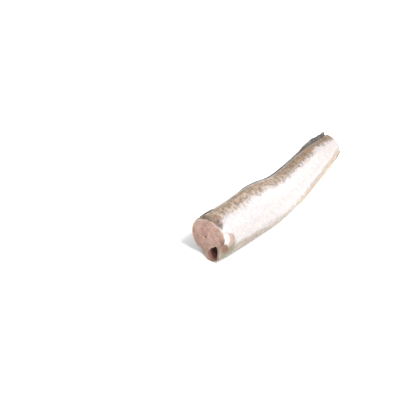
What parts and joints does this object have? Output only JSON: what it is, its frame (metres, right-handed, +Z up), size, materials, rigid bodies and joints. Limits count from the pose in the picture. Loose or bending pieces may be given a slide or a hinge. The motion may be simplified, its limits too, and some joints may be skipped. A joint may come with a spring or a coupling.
{
  "type": "hake",
  "caption": "Headed and gutted hake trunk lying on its belly, with an open belly cavity, cut ends, backbone and folded fins.",
  "frame": {"origin": "under the middle of the fish's bounding box, on the surface it rests on", "axes": "+X from the head cut to the tail cut, +Z up; the left flank faces -Y and the back leans towards +Y"},
  "size_m": [0.2654, 0.0826, 0.0457],
  "materials": {
    "skin": "wet silvery white skin, grey-brown on the back, pink flesh on the cuts",
    "bone": "moist rosy bone",
    "dark_fin": "wet dark grey fin rays and membrane",
    "pale_fin": "wet pale translucent fin rays and membrane"
  },
  "bodies": {
    "root": {"hake_trunk": "skin", "backbone": "bone", "first_dorsal_fin": "dark_fin", "second_dorsal_fin": "dark_fin", "anal_fin": "pale_fin"}
  },
  "joints": []
}
